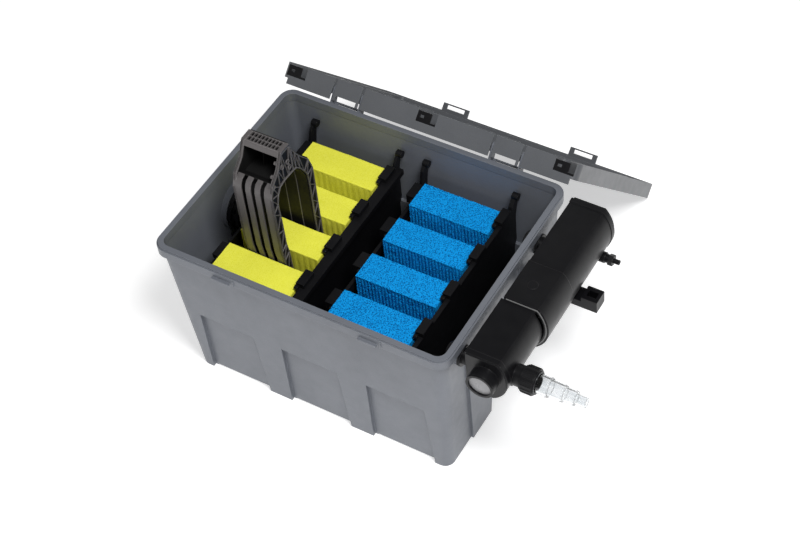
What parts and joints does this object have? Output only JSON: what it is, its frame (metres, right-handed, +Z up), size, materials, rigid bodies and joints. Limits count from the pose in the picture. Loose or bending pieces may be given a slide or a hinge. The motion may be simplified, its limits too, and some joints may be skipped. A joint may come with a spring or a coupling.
{
  "type": "pond box filter",
  "caption": "Open multi-chamber pond filter box with yellow and blue sponge cassettes, a cleaning tool, a hinged lid and a side-mounted UV clarifier with a stepped hose tail.",
  "frame": {"origin": "centre of the tub's base, on the ground", "axes": "+X along the long front towards the UV clarifier, +Y from the front to the hinged back, +Z up"},
  "size_m": [0.838, 0.8057, 0.5123],
  "materials": {
    "tub_plastic": "satin moulded, fine grain",
    "lid_plastic": "satin moulded, fine grain",
    "black_plastic": "satin",
    "lamp_plastic": "semi-gloss",
    "tool_plastic": "satin",
    "yellow_foam": "open-cell filter foam",
    "blue_foam": "open-cell filter foam",
    "seal_rubber": "matt",
    "grey_seal": "matt",
    "clear_plastic": "clear, polished",
    "quartz_glass": "clear, polished",
    "tube_glass": "clear",
    "white_plastic": "glossy",
    "steel": "satin"
  },
  "bodies": {
    "filter": {"tub": "tub_plastic", "hinge_pins": "black_plastic", "outlet_pipe": "black_plastic", "outlet_gasket": "seal_rubber", "outlet_nut": "black_plastic", "outlet_strainer": "black_plastic", "drain_stub": "black_plastic", "connector_front": "black_plastic", "connector_rear": "black_plastic", "connector_gaskets": "seal_rubber", "connector_nuts": "black_plastic", "uv_front_cap": "lamp_plastic", "uv_front_housing": "lamp_plastic", "uv_collar_seal": "grey_seal", "uv_locking_sleeve": "lamp_plastic", "uv_rear_housing": "lamp_plastic", "uv_rear_cap": "lamp_plastic", "sight_glass": "clear_plastic", "sight_glass_bezel": "black_plastic", "quartz_sleeve": "quartz_glass", "sleeve_seal": "seal_rubber", "uv_tube": "tube_glass", "lamp_socket": "white_plastic", "ballast": "black_plastic", "cable_gland": "black_plastic", "gland_nut": "black_plastic", "hose_tail": "clear_plastic", "hose_tail_seal": "seal_rubber", "lamp_bracket": "black_plastic", "bracket_screws": "steel"},
    "lid": {"lid": "lid_plastic", "lid_clip_left": "black_plastic", "lid_clip_centre": "black_plastic", "lid_clip_right": "black_plastic"},
    "yellow_cassette": {"yellow_tray": "black_plastic", "yellow_plate_left": "black_plastic", "yellow_plate_right": "black_plastic", "yellow_clips": "black_plastic", "yellow_sponge_1": "yellow_foam", "yellow_sponge_2": "yellow_foam", "yellow_sponge_3": "yellow_foam", "yellow_sponge_4": "yellow_foam"},
    "blue_cassette": {"blue_tray": "black_plastic", "blue_plate_left": "black_plastic", "blue_plate_right": "black_plastic", "blue_clips": "black_plastic", "blue_sponge_1": "blue_foam", "blue_sponge_2": "blue_foam", "blue_sponge_3": "blue_foam", "blue_sponge_4": "blue_foam"},
    "tool": {"cleaning_tool": "tool_plastic"},
    "union_nut": {"union_nut": "black_plastic"},
    "drain_cap": {"drain_cap": "black_plastic"}
  },
  "joints": [
    {"name": "lid_hinge", "type": "hinge", "parent": "filter", "child": "lid", "pos_m": [0, 0.2405, 0.354], "axis": [-1, 0, 0], "range_deg": [-190, 0]},
    {"name": "yellow_lift", "type": "slide", "parent": "filter", "child": "yellow_cassette", "axis": [0, 0, 1], "range_m": [0, 0.36]},
    {"name": "blue_lift", "type": "slide", "parent": "filter", "child": "blue_cassette", "axis": [0, 0, 1], "range_m": [0, 0.36]},
    {"name": "tool_lift", "type": "slide", "parent": "yellow_cassette", "child": "tool", "axis": [0, 0, 1], "range_m": [0, 0.3]},
    {"name": "union_nut_turn", "type": "hinge", "parent": "filter", "child": "union_nut", "pos_m": [0.412, -0.16, 0.308], "axis": [1, 0, 0], "range_deg": [0, 360]},
    {"name": "drain_cap_turn", "type": "hinge", "parent": "filter", "child": "drain_cap", "pos_m": [-0.294, 0.12, 0.044], "axis": [-1, 0, 0], "range_deg": [0, 360]}
  ]
}
